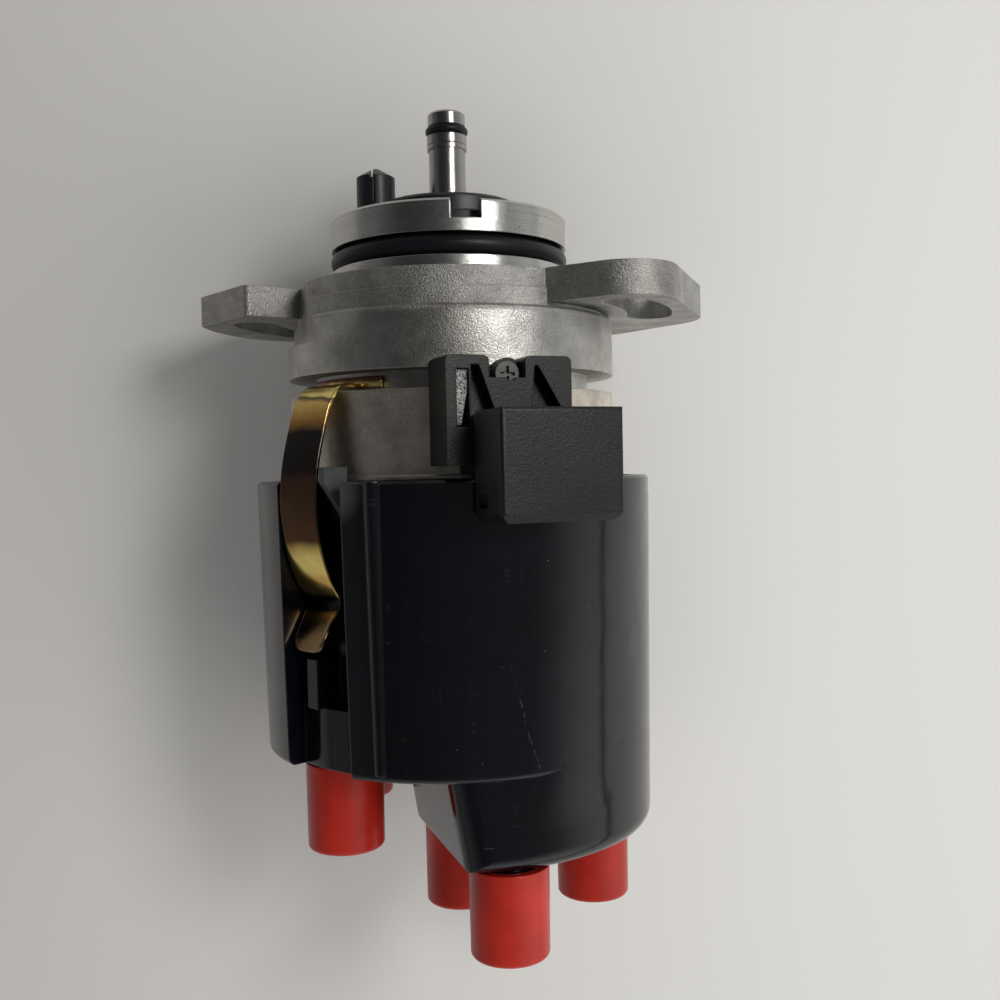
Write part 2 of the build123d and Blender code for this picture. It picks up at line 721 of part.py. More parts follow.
def dust_cap(x, y, end_plane):
    """Red push-on cap, slightly drafted, with a rounded closed end."""
    top = end_plane - dust_cap_gap
    tower_end = end_plane - tower_length
    low = tower_end - dust_cap_end
    bore = tower_r + push_gap
    shell = spun([
        (0, low), (dust_cap_r - 0.12, low), (dust_cap_r, top - 2), (dust_cap_r, top),
        (bore + 0.4, top), (bore, top - 0.4), (bore, tower_end - 0.2), (0, tower_end - 0.2),
    ], (dust_cap_r - 0.12, low), 1.0)
    return Pos(x, y) * shell


def spring_clip(azimuth):
    """Bent strip: curved head in the groove, bowed band, hook under the ridge, turned-out tongue."""
    centre_line = FilletPolyline(*clip_path, radius=1.6)
    section = make_face(offset(centre_line, amount=clip_thick / 2, side=Side.BOTH))
    strip = Rot(90, 0, 0) * extrude(section, amount=clip_width / 2, both=True)
    angle = radians(clip_head_angle)
    reach = [(0, 0), (60 * cos(angle), -60 * sin(angle)), (60 * cos(angle), 60 * sin(angle))]
    head = ring(clip_head[1], clip_head[0], *clip_head_z) & prism(reach, -40, 0)
    return turned_to(azimuth) * (strip + head)


def lay(shape):
    """Turn a piece, or a group of identical pieces, into the handed-in frame."""
    if isinstance(shape, list):
        return Compound(children=[LAY_DOWN * solid for solid in shape])
    return LAY_DOWN * shape


pieces = {
    "housing": housing(),
    "spigot_o_ring": spigot_o_ring(),
    "drive_shaft": drive_shaft(),
    "pilot_o_ring": pilot_o_ring(),
    "drive_coupling": drive_coupling(),
    "coupling_pin": coupling_pin(),
    "shaft_seal": shaft_seal(),
    "upper_bush": bush(upper_bush),
    "lower_bush": bush(lower_bush),
    "thrust_washer": thrust_washer(),
    "shaft_circlip": shaft_circlip(),
    "base_plate": base_plate(),
    "base_plate_screws": base_plate_screws(),
    "trigger_rotor": trigger_rotor(),
    "hall_carrier": hall_carrier(),
    "hall_magnet": hall_magnet(),
    "hall_sensor": hall_sensor(),
    "plug_housing": plug_housing(),
    "plug_pins": plug_pins(),
    "plug_screw": plug_screw(),
    "dust_cover": dust_cover(),
    "rotor_arm": rotor_arm(),
    "rotor_contact": rotor_contact(),
    "rotor_resistor": rotor_resistor(),
    "distributor_cap": distributor_cap(),
    "carbon_brush": carbon_brush(),
    "brush_spring": brush_spring(),
    "centre_terminal": centre_terminal(),
    "side_electrodes": side_electrodes(),
    "spring_clip_front": spring_clip(clip_azimuth),
    "spring_clip_rear": spring_clip(clip_azimuth - 180),
}
for name, x, y, end_plane in towers:
    pieces[name] = dust_cap(x, y, end_plane)

for name, shape in pieces.items():
    export_step(lay(shape), f"parts/{name}.step")
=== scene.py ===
from math import atan2, cos, degrees, pi, radians, sin, sqrt

import bmesh
import bpy
from mathutils import Matrix, Vector


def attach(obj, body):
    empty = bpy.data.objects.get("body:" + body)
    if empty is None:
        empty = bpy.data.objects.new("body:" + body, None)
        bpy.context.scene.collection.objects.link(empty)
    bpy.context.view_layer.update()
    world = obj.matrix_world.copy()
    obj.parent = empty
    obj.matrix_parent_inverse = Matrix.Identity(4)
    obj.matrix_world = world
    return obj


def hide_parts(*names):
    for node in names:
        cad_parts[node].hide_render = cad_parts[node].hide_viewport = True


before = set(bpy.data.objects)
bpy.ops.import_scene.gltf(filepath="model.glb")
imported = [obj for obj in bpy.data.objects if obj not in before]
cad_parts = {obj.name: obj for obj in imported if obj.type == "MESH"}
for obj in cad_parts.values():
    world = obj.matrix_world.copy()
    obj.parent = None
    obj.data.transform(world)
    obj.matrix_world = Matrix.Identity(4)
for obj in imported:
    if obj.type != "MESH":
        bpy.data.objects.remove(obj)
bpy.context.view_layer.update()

# Pieces are drawn in millimetres with the shaft along Z and the drive end up, as the part's
# source draws them, and laid on their side when they are finished.
MM = 0.001
LAY = Matrix.Scale(MM, 4) @ Matrix.Rotation(radians(-90), 4, "X")
FULL_TURN = 2 * pi
PLUG_AZIMUTH = radians(-70)
CLIP_DEGREES = 223
CLIP_AZIMUTH = radians(CLIP_DEGREES)
BEVEL_SAMPLES = 6


def circle_point(radius, azimuth):
    """A point in plan, from a radius and an angle in degrees."""
    return (radius * cos(radians(azimuth)), radius * sin(radians(azimuth)))


# ---------------------------------------------------------------- materials


class Finish:
    """A node material with short calls for the nodes that every finish needs."""

    def __init__(self, name, colour, roughness, metallic=0.0):
        self.material = bpy.data.materials.new(name)
        self.material.use_nodes = True
        self.tree = self.material.node_tree
        self.shader = self.tree.nodes["Principled BSDF"]
        self.set("Base Color", (*colour, 1))
        self.set("Roughness", roughness)
        self.set("Metallic", metallic)
        self.coords = self.tree.nodes.new("ShaderNodeTexCoord").outputs["Object"]
        self.place = None
        self.normal = None

    def set(self, socket, value):
        self.shader.inputs[socket].default_value = value

    def link(self, output, target):
        self.tree.links.new(output, target)

    def stretched(self, scale):
        """Object coordinates stretched along each axis."""
        node = self.tree.nodes.new("ShaderNodeMapping")
        node.inputs["Scale"].default_value = scale
        self.link(self.coords, node.inputs["Vector"])
        return node.outputs["Vector"]

    def noise(self, scale, detail=3.0, rough=0.55, vector=None):
        node = self.tree.nodes.new("ShaderNodeTexNoise")
        node.inputs["Scale"].default_value = scale
        node.inputs["Detail"].default_value = detail
        node.inputs["Roughness"].default_value = rough
        self.link(vector or self.coords, node.inputs["Vector"])
        return node.outputs["Fac"]

    def cells(self, scale):
        node = self.tree.nodes.new("ShaderNodeTexVoronoi")
        node.inputs["Scale"].default_value = scale
        self.link(self.coords, node.inputs["Vector"])
        return node.outputs["Distance"]

    def ramp(self, value, stops):
        node = self.tree.nodes.new("ShaderNodeValToRGB")
        elements = node.color_ramp.elements
        while len(elements) < len(stops):
            elements.new(0.5)
        for element, (place, colour) in zip(elements, stops):
            element.position = place
            grey = (colour,) * 3 if isinstance(colour, (int, float)) else colour
            element.color = (*grey, 1)
        self.link(value, node.inputs["Fac"])
        return node.outputs["Color"]

    def mix(self, factor, first, second, blend="MIX"):
        node = self.tree.nodes.new("ShaderNodeMix")
        node.data_type = "RGBA"
        node.blend_type = blend
        for socket, source in ((0, factor), (6, first), (7, second)):
            if isinstance(source, bpy.types.NodeSocket):
                self.link(source, node.inputs[socket])
            elif socket == 0:
                node.inputs[0].default_value = source
            else:
                node.inputs[socket].default_value = (*source, 1)
        return node.outputs[2]

    def axis(self, name):
        """Place along one axis: X across, Y along the shaft, Z up."""
        if not self.place:
            self.place = self.tree.nodes.new("ShaderNodeSeparateXYZ")
            self.link(self.coords, self.place.inputs[0])
        return self.place.outputs[name]

    def math(self, operation, *values):
        node = self.tree.nodes.new("ShaderNodeMath")
        node.operation = operation
        for socket, value in zip(node.inputs, values):
            if isinstance(value, bpy.types.NodeSocket):
                self.link(value, socket)
            else:
                socket.default_value = value
        return node.outputs[0]

    def radius(self):
        """Distance from the shaft axis."""
        across, up = self.axis("X"), self.axis("Z")
        return self.math("SQRT", self.math("ADD", self.math("MULTIPLY", across, across),
                                           self.math("MULTIPLY", up, up)))

    def step(self, value, first, last):
        """Runs from 0 to 1 between two places, in millimetres."""
        node = self.tree.nodes.new("ShaderNodeMapRange")
        node.inputs["From Min"].default_value = first * MM
        node.inputs["From Max"].default_value = last * MM
        self.link(value, node.inputs["Value"])
        return node.outputs["Result"]

    def hairlines(self):
        """A mask of fine scratches along the shaft and across it."""
        lines = self.noise(1, 3, 0.7, self.stretched((900, 14, 900)))
        other = self.noise(1, 3, 0.7, self.stretched((60, 1300, 240)))
        return self.ramp(self.mix(0.5, lines, other), [(0.60, 0.0), (0.72, 1.0)])

    def near(self, x, y, z, first, last):
        """1 close to a point of the part, in its own axes, falling to 0 further out."""
        node = self.tree.nodes.new("ShaderNodeVectorMath")
        node.operation = "DISTANCE"
        self.link(self.coords, node.inputs[0])
        node.inputs[1].default_value = (x * MM, z * MM, -y * MM)
        return self.step(node.outputs["Value"], last, first)

    def rounded(self, radius, pale_edges=None):
        """Softens sharp edges by a radius in millimetres and, given a threshold, gives a mask of
        those edges, which the finishes paint paler.
        """
        soft = self.tree.nodes.new("ShaderNodeBevel")
        soft.samples = BEVEL_SAMPLES
        soft.inputs["Radius"].default_value = radius * MM
        self.normal = soft.outputs["Normal"]
        self.link(self.normal, self.shader.inputs["Normal"])
        if pale_edges is None:
            return None
        flat = self.tree.nodes.new("ShaderNodeNewGeometry").outputs["Normal"]
        turn = self.tree.nodes.new("ShaderNodeVectorMath")
        turn.operation = "DOT_PRODUCT"
        self.link(soft.outputs["Normal"], turn.inputs[0])
        self.link(flat, turn.inputs[1])
        return self.ramp(turn.outputs["Value"], [(pale_edges, 1.0), (0.985, 0.0)])

    def colour(self, output):
        self.link(output, self.shader.inputs["Base Color"])

    def roughness(self, value, low, high):
        """Roughness that runs between two levels with a pattern."""
        node = self.tree.nodes.new("ShaderNodeMapRange")
        node.inputs["To Min"].default_value = low
        node.inputs["To Max"].default_value = high
        self.link(value, node.inputs["Value"])
        self.link(node.outputs["Result"], self.shader.inputs["Roughness"])

    def bump(self, height, strength, distance):
        """Adds one layer of relief over the ones before it."""
        node = self.tree.nodes.new("ShaderNodeBump")
        node.inputs["Strength"].default_value = strength
        node.inputs["Distance"].default_value = distance
        self.link(height, node.inputs["Height"])
        if self.normal:
            self.link(self.normal, node.inputs["Normal"])
        self.normal = node.outputs["Normal"]
        self.link(self.normal, self.shader.inputs["Normal"])


def housing_casting():
    """The housing's own finish: coarse skin on the flange, finer on the barrel, machined spigot."""
    made = Finish("housing_aluminium", (0.45, 0.44, 0.41), 0.40, 1.0)
    edge = made.rounded(0.35, 0.80)
    along = made.axis("Y")
    from_axis = made.radius()
    spigot = made.math("MULTIPLY", made.step(along, -0.25, 0.05), made.step(from_axis, 25.6, 25.2))
    barrel = made.step(along, -8.2, -8.8)
    skin = made.ramp(made.noise(38, 4), [(0.3, (0.47, 0.45, 0.42)), (0.72, (0.66, 0.65, 0.625))])
    blotch = made.ramp(made.noise(150, 5, 0.7), [(0.36, 0.66), (0.62, 1.0)])
    skin = made.mix(0.8, skin, blotch, "MULTIPLY")
    speck = made.ramp(made.noise(3300, 1.5, 0.7), [(0.34, 0.42), (0.60, 1.0)])
    fine = made.ramp(made.noise(3800, 1.5, 0.6), [(0.34, 0.68), (0.58, 1.0)])
    cast = made.mix(0.62, skin, made.mix(barrel, speck, fine), "MULTIPLY")
    rings = made.noise(1, 2.5, 0.75, made.stretched((9, 4200, 9)))
    turned_skin = made.ramp(rings, [(0.3, (0.40, 0.39, 0.37)), (0.7, (0.60, 0.59, 0.57))])
    pits = made.ramp(made.cells(560), [(0.05, 0.30), (0.17, 1.0)])
    turned_skin = made.mix(0.7, turned_skin, pits, "MULTIPLY")
    lower = made.mix(made.step(along, -22.0, -24.0), (1.0,) * 3, (1.45, 1.34, 1.24))
    cast = made.mix(1.0, cast, lower, "MULTIPLY")
    tone = made.mix(spigot, cast, turned_skin)
    made.colour(made.mix(made.math("MULTIPLY", edge, 0.45), tone, (0.78, 0.77, 0.74)))
    rough = made.mix(spigot, made.mix(barrel, (0.50,) * 3, (0.38,) * 3), (0.24,) * 3)
    varied = made.mix(made.noise(1300, 2), (0.82,) * 3, (1.25,) * 3)
    made.link(made.mix(1.0, rough, varied, "MULTIPLY"), made.shader.inputs["Roughness"])
    grain = made.mix(barrel, (1.0,) * 3, (0.5,) * 3)
    grain = made.mix(spigot, grain, (0.0,) * 3)
    made.bump(made.mix(1.0, made.noise(2700, 2.0, 0.7), grain, "MULTIPLY"), 0.80, 0.00022)
    ringed = made.mix(spigot, (0.12,) * 3, (1.0,) * 3)
    made.bump(made.mix(1.0, rings, ringed, "MULTIPLY"), 0.25, 0.00012)
    made.bump(made.noise(110, 3), 0.18, 0.0007)
    return made.material


def rough_cast():
    """Bare, bright and gritty casting in small places."""
    made = Finish("gritty_casting", (0.5, 0.5, 0.48), 0.5, 0.6)
    grain = made.noise(2600, 2, 0.8)
    made.colour(made.ramp(grain, [(0.40, (0.06, 0.06, 0.06)), (0.60, (0.62, 0.62, 0.60))]))
    made.bump(grain, 0.8, 0.0003)
    return made.material


def turned_metal(name, colour, roughness):
    """Turned metal with fine tool rings round the shaft axis."""
    made = Finish(name, colour, roughness, 1.0)
    made.rounded(0.15)
    rings = made.noise(1, 2, 0.7, made.stretched((12, 5200, 12)))
    wear = made.noise(160, 4, 0.6)
    made.colour(made.ramp(wear, [(0.3, tuple(c * 0.78 for c in colour)), (0.65, colour)]))
    made.roughness(rings, roughness * 0.7, roughness * 1.5)
    made.bump(rings, 0.18, 0.0001)
    made.bump(made.ramp(made.cells(420), [(0.0, 0.0), (0.12, 1.0)]), 0.12, 0.0002)
    return made.material


def moulded(name, colour, roughness, grain_scale, grain, spread=0.12, scratches=0.0, edges=0.3,
            shine=0.5):
    """Moulded plastic or rubber with a fine skin, soft edges and, if asked, light scratches."""
    made = Finish(name, colour, roughness)
    made.set("Specular IOR Level", shine)
    pale_edges = made.rounded(edges, 0.80)
    dark = tuple(c * 0.75 for c in colour)
    light = tuple(min(1.0, c * 1.25 + 0.004) for c in colour)
    tone = made.ramp(made.noise(60, 4), [(0.3, dark), (0.7, light)])
    if scratches:
        marks = made.hairlines()
        lifted = tuple(c + scratches for c in colour)
        tone = made.mix(marks, tone, lifted)
    rubbed = tuple(min(1.0, c * 2.2 + 0.006) for c in colour)
    made.colour(made.mix(made.math("MULTIPLY", pale_edges, 0.6), tone, rubbed))
    made.roughness(made.noise(240, 4, 0.6), roughness - spread / 2, roughness + spread)
    made.bump(made.noise(grain_scale, 2, 0.6), grain, 0.0002)
    return made.material


def cap_black():
    """The cap's glossy black: faint haze, hairline scratches, and a painted lit patch, grey and
    rougher, on the catch lug in its channel.
    """
    made = Finish("glossy_black", (0.0022, 0.0028, 0.0046), 0.12)
    made.set("Specular IOR Level", 0.5)
    pale_edges = made.rounded(0.45, 0.80)
    tone = made.ramp(made.noise(60, 4), [(0.3, (0.0024, 0.0018, 0.0036)),
                                         (0.7, (0.0022, 0.0034, 0.0052))])
    tone = made.mix(made.hairlines(), tone, (0.018, 0.019, 0.021))
    slant = made.math("ADD", made.axis("X"), made.math("MULTIPLY", made.axis("Y"), 0.27))
    wander = made.math("MULTIPLY", made.math("SUBTRACT", made.noise(220, 3), 0.5), 0.0016)
    off_line = made.math("ABSOLUTE", made.math("ADD", made.math("ADD", slant, wander), 0.0107))
    stretch = made.math("MULTIPLY", made.step(made.axis("Y"), -97.0, -94.0),
                        made.step(made.axis("Y"), -74.0, -77.0))
    scratch = made.math("MULTIPLY", made.step(off_line, 0.16, 0.03), stretch)
    broken = made.ramp(made.noise(900, 2), [(0.45, 0.0), (0.60, 1.0)])
    scratch = made.math("MULTIPLY", scratch, broken)
    tone = made.mix(scratch, tone, (0.034, 0.032, 0.034))
    dust = made.ramp(made.cells(130), [(0.012, 1.0), (0.030, 0.0)])
    tone = made.mix(made.math("MULTIPLY", dust, 0.6), tone, (0.09, 0.09, 0.10))
    # Painted light: the catch lug's lit face in the channel, painted grey and made rougher.
    x, y = circle_point(38.0, CLIP_DEGREES + 13)
    painted_lit_lug = made.near(x, y, -42.0, 4.0, 8.0)
    tone = made.mix(painted_lit_lug, tone, (0.060, 0.064, 0.068))
    made.colour(made.mix(made.math("MULTIPLY", pale_edges, 0.55), tone, (0.014, 0.0145, 0.017)))
    skin = made.ramp(made.noise(240, 4, 0.6), [(0.3, 0.095), (0.7, 0.17)])
    made.link(made.mix(painted_lit_lug, skin, (0.5,) * 3), made.shader.inputs["Roughness"])
    made.bump(made.noise(900, 2, 0.6), 0.03, 0.0002)
    made.bump(made.noise(55, 2, 0.4), 0.10, 0.0008)
    return made.material


def passivated_gold():
    """Yellow-passivated spring steel: bands of gold and brown film along the bow, near-black bands
    of painted shade, and dark brown ones that are partly painted shade and partly brown film.
    """
    made = Finish("passivated_gold", (0.80, 0.60, 0.26), 0.14, 1.0)
    pale_edges = made.rounded(0.35, 0.86)
    low, high = -76.0, -19.0
    waver = made.math("MULTIPLY", made.math("SUBTRACT", made.noise(120, 2, 0.4), 0.5), 0.0028)
    along = made.step(made.math("ADD", made.axis("Y"), waver), low, high)
    # dark is painted shade: the near-black bands where the bow turns out of the light; the dark
    # brown bands are partly painted shade and partly brown film.
    bright, orange, dark = (0.92, 0.72, 0.24), (0.34, 0.18, 0.04), (0.004, 0.002, 0.002)
    film_and_shade_bands = (
        (-76, (0.26, 0.17, 0.08)), (-68.0, (0.22, 0.14, 0.06)), (-66.4, (0.80, 0.42, 0.06)),
        (-65.4, dark), (-62.6, dark), (-61.8, bright), (-59.0, (0.80, 0.48, 0.11)),
        (-57.4, bright), (-55.0, bright), (-53.2, (0.58, 0.42, 0.13)),
        (-51.6, (0.085, 0.04, 0.014)), (-40.0, (0.042, 0.016, 0.006)), (-38.4, dark),
        (-31.0, dark), (-28.4, orange), (-25.2, (0.62, 0.42, 0.12)), (-24.2, dark),
        (-23.6, bright), (-21.7, bright), (-21.0, (0.20, 0.085, 0.05)),
        (-20.0, (0.16, 0.07, 0.045)),
    )
    film_and_painted_shade = made.ramp(along, [((z - low) / (high - low), c) for z, c in film_and_shade_bands])
    drift = made.ramp(made.noise(420, 3, 0.6), [(0.3, 0.72), (0.6, 1.0)])
    film_and_painted_shade = made.mix(0.6, film_and_painted_shade, drift, "MULTIPLY")
    # Paler sharp edges here are a painted highlight along the strip's edges.
    made.colour(made.mix(made.math("MULTIPLY", pale_edges, 0.7), film_and_painted_shade, (0.95, 0.84, 0.66)))
    made.roughness(made.noise(300, 3), 0.12, 0.26)
    made.bump(made.noise(1, 2, 0.6, made.stretched((1800, 60, 1800))), 0.08, 0.0001)
    return made.material


ALUMINIUM = housing_casting()
ROUGH_CAST = rough_cast()
STEEL = turned_metal("ground_steel", (0.40, 0.385, 0.375), 0.20)
ZINC = turned_metal("bright_zinc", (0.72, 0.72, 0.70), 0.24)
DULL_ZINC = turned_metal("dull_zinc", (0.13, 0.13, 0.125), 0.50)
BRASS = turned_metal("bright_brass", (0.78, 0.58, 0.26), 0.25)
BRONZE = turned_metal("sintered_bronze", (0.50, 0.33, 0.17), 0.40)
GOLD = passivated_gold()
CAP_BLACK = cap_black()
COUPLING_BLACK = moulded("worn_black", (0.008, 0.008, 0.011), 0.36, 1300, 0.12, 0.14,
                         scratches=0.02, shine=0.4)
PLUG_GREY = moulded("grained_dark_grey", (0.0018, 0.0026, 0.0024), 0.42, 1900, 0.32, 0.10,
                    edges=0.35, shine=0.42)
RUBBER = moulded("black_rubber", (0.0055, 0.006, 0.009), 0.36, 900, 0.08, 0.1,
                 edges=0.1, shine=0.3)
RED = moulded("satin_red", (0.40, 0.015, 0.006), 0.30, 1100, 0.06, edges=0.5, shine=0.42)
BROWN_PLASTIC = moulded("brown_moulding", (0.10, 0.035, 0.02), 0.45, 900, 0.1)
CARBON = moulded("dull_carbon", (0.02, 0.02, 0.02), 0.6, 1500, 0.2)

NODE_FINISHES = {
    "spigot_o_ring": RUBBER, "drive_shaft": STEEL, "pilot_o_ring": RUBBER,
    "drive_coupling": COUPLING_BLACK, "coupling_pin": STEEL, "shaft_seal": RUBBER,
    "upper_bush": BRONZE, "lower_bush": BRONZE, "thrust_washer": ZINC, "shaft_circlip": STEEL,
    "base_plate": ZINC, "base_plate_screws": ZINC, "trigger_rotor": ZINC,
    "hall_carrier": PLUG_GREY, "hall_magnet": CARBON, "hall_sensor": CARBON,
    "plug_housing": PLUG_GREY, "plug_pins": BRASS, "plug_screw": DULL_ZINC,
    "dust_cover": BROWN_PLASTIC, "rotor_arm": BROWN_PLASTIC, "rotor_contact": BRASS,
    "rotor_resistor": CARBON, "distributor_cap": CAP_BLACK, "carbon_brush": CARBON,
    "brush_spring": STEEL, "centre_terminal": BRASS, "side_electrodes": BRASS,
    "spring_clip_front": GOLD, "spring_clip_rear": GOLD, "housing": ALUMINIUM,
    "dust_cap_centre": RED, "dust_cap_1": RED, "dust_cap_2": RED, "dust_cap_3": RED,
    "dust_cap_4": RED,
}
for node, material in NODE_FINISHES.items():
    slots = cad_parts[node].material_slots
    for slot in slots:
        slot.link = "OBJECT"
        slot.material = material

# ---------------------------------------------------------------- mesh calls


def wire(points):
    """An open line of edges through (r, z) points in the X-Z plane."""
    mesh = bmesh.new()
    corners = [mesh.verts.new((r, 0, z)) for r, z in points]
    for first, second in zip(corners, corners[1:]):
        mesh.edges.new((first, second))
    return mesh


def lathe(points, steps):
    """A ring turned about the shaft axis from its closed half outline."""
    mesh = wire(points + [points[0]])
    bmesh.ops.remove_doubles(mesh, verts=mesh.verts, dist=1e-5)
    geometry = mesh.verts[:] + mesh.edges[:]
    bmesh.ops.spin(mesh, geom=geometry, cent=(0, 0, 0), axis=(0, 0, 1), dvec=(0, 0, 0),
                   angle=FULL_TURN, steps=steps, use_merge=True, use_duplicate=False)
    bmesh.ops.remove_doubles(mesh, verts=mesh.verts, dist=1e-4)
    bmesh.ops.recalc_face_normals(mesh, faces=mesh.faces)
    return mesh


def soften(mesh, width, sharper_than=25):
    """Rounds the sharp edges."""
    limit = radians(sharper_than)
    edges = [e for e in mesh.edges if len(e.link_faces) == 2 and e.calc_face_angle(0) > limit]
    bmesh.ops.bevel(mesh, geom=edges, offset=width, offset_type="OFFSET", segments=2,
                    profile=0.5, affect="EDGES", material=-1, clamp_overlap=True)
    return mesh


def turned(mesh, angle):
    """Turns a mesh about the shaft axis."""
    bmesh.ops.transform(mesh, matrix=Matrix.Rotation(angle, 4, "Z"), verts=mesh.verts)
    return mesh


def bar(outline, start, length):
    """A (y, z) outline drawn at x = start and carried outward along X."""
    mesh = bmesh.new()
    face = mesh.faces.new([mesh.verts.new((start, y, z)) for y, z in outline])
    raised = bmesh.ops.extrude_face_region(mesh, geom=[face])
    front = [v for v in raised["geom"] if isinstance(v, bmesh.types.BMVert)]
    bmesh.ops.translate(mesh, verts=front, vec=(length, 0, 0))
    bmesh.ops.recalc_face_normals(mesh, faces=mesh.faces)
    return mesh


def cut_by(base, tool):
    """One mesh with another taken away from it."""
    pair = []
    for source in (base, tool):
        data = bpy.data.meshes.new("solid")
        source.to_mesh(data)
        source.free()
        thing = bpy.data.objects.new("solid", data)
        bpy.context.scene.collection.objects.link(thing)
        pair.append(thing)
    cut = pair[0].modifiers.new("cut", "BOOLEAN")
    cut.object = pair[1]
    cut.operation = "DIFFERENCE"
    cut.solver = "EXACT"
    shown = bpy.context.evaluated_depsgraph_get()
    data = bpy.data.meshes.new_from_object(pair[0].evaluated_get(shown))
    result = bmesh.new()
    result.from_mesh(data)
    for thing in pair:
        old = thing.data
        bpy.data.objects.remove(thing)
        bpy.data.meshes.remove(old)
    bpy.data.meshes.remove(data)
    bmesh.ops.remove_doubles(result, verts=result.verts, dist=1e-4)
    return result


def copied(node):
    """A merged copy of a node's mesh, stood up again in millimetres."""
    mesh = bmesh.new()
    mesh.from_mesh(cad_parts[node].data)
    bmesh.ops.transform(mesh, matrix=LAY.inverted(), verts=mesh.verts)
    bmesh.ops.remove_doubles(mesh, verts=mesh.verts, dist=1e-4)
    return mesh


def finish(name, mesh, material, body, replaces=(), smooth=35, turn_out=True):
    """Makes the mesh a piece of the object: laid down, in metres, on its body."""
    bmesh.ops.transform(mesh, matrix=LAY, verts=mesh.verts)
    if turn_out:
        bmesh.ops.recalc_face_normals(mesh, faces=mesh.faces)
    for face in mesh.faces:
        face.smooth = True
    for edge in mesh.edges:
        edge.smooth = edge.calc_face_angle(pi) < radians(smooth)
    data = bpy.data.meshes.new(name)
    mesh.to_mesh(data)
    mesh.free()
    data.materials.append(material)
    piece = bpy.data.objects.new(name, data)
    bpy.context.scene.collection.objects.link(piece)
    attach(piece, body)
    if replaces:
        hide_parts(*replaces)
    return piece


def shade_evenly(piece):
    """Lets the large flat faces rule the shading where a copy was cut."""
    even = piece.modifiers.new("even_shading", "WEIGHTED_NORMAL")
    even.keep_sharp = True


def eased(share):
    """Runs from 0 to 1 with no corner at either end."""
    share = min(1.0, max(0.0, share))
    return share * share * (3 - 2 * share)


def arc(radius, start, end, count, centre):
    """Points along an arc in plan, angles in degrees."""
    angles = [start + (end - start) * i / (count - 1) for i in range(count)]
    return [(centre[0] + radius * cos(radians(a)), centre[1] + radius * sin(radians(a)))
            for a in angles]


# ---------------------------------------------------------------- spring clips

CLIP_WIDTH = 11.4
CLIP_THICKNESS = 0.8
CLIP_COLUMNS = 10
CLIP_PATH = [
    (30.4, -21.9), (32.0, -21.9), (33.6, -21.9), (35.0, -22.6), (36.0, -24.1), (37.0, -25.8),
    (37.8, -28.0), (38.3, -30.0), (39.5, -34.0), (40.35, -38.0), (40.75, -42.0), (40.8, -45.0),
    (40.55, -48.0), (40.1, -51.5), (39.3, -55.0), (38.2, -58.0), (37.2, -60.2), (36.0, -61.9),
    (35.15, -63.2), (34.95, -64.4), (35.3, -65.8), (36.5, -68.0), (37.8, -70.7), (39.0, -73.4),
]
TONGUE_START = -64.0
TONGUE_END = -73.4
TONGUE_NARROWER = 2.0
TONGUE_TAPER = 2.5          # length over which the tongue narrows
TONGUE_DISH = 0.25
FOOT_HALF_ANGLE = radians(20.3)


def clip_strip():
    """The bent strip: full width to the hook, then a narrower, dished tongue with a round end."""
    mesh = wire(CLIP_PATH)
    step = CLIP_WIDTH / CLIP_COLUMNS
    bmesh.ops.translate(mesh, verts=mesh.verts, vec=(0, -CLIP_WIDTH / 2, 0))
    edge = mesh.edges[:]
    for _ in range(CLIP_COLUMNS):
        grown = bmesh.ops.extrude_edge_only(mesh, edges=edge)["geom"]
        edge = [g for g in grown if isinstance(g, bmesh.types.BMEdge)]
        moved = [g for g in grown if isinstance(g, bmesh.types.BMVert)]
        bmesh.ops.translate(mesh, verts=moved, vec=(0, step, 0))
    for vert in mesh.verts:
        across = vert.co.y / (CLIP_WIDTH / 2)
        past = min(1.0, max(0.0, (TONGUE_START - vert.co.z) / TONGUE_TAPER))
        vert.co.y -= TONGUE_NARROWER / 2 * past * (1 + across)
        out = max(0.0, (TONGUE_START - vert.co.z) / (TONGUE_START - TONGUE_END))
        vert.co.x -= TONGUE_DISH * past * (1 - across ** 2)
        vert.co.z += 1.9 * out ** 3 * abs(across) ** 5
        vert.co.x -= 0.5 * out ** 3 * abs(across) ** 5
    bmesh.ops.recalc_face_normals(mesh, faces=mesh.faces)
    return mesh


def clip_head():
    """The curved foot that sits in the housing's groove."""
    mesh = lathe([(29.4, -22.35), (30.2, -22.35), (30.2, -20.15), (29.4, -20.15)], 180)
    for side in (-1, 1):
        cut = bmesh.ops.bisect_plane(
            mesh, geom=mesh.verts[:] + mesh.edges[:] + mesh.faces[:], plane_co=(0, 0, 0),
            plane_no=(-sin(FOOT_HALF_ANGLE), side * cos(FOOT_HALF_ANGLE), 0),
            clear_outer=True)["geom_cut"]
        bmesh.ops.edgenet_fill(mesh, edges=[e for e in cut if isinstance(e, bmesh.types.BMEdge)])
    bmesh.ops.bisect_plane(mesh, geom=mesh.verts[:] + mesh.edges[:] + mesh.faces[:],
                           plane_co=(0, 0, 0), plane_no=(-1, 0, 0), clear_outer=True)
    bmesh.ops.recalc_face_normals(mesh, faces=mesh.faces)
    return soften(mesh, 0.18, 40)


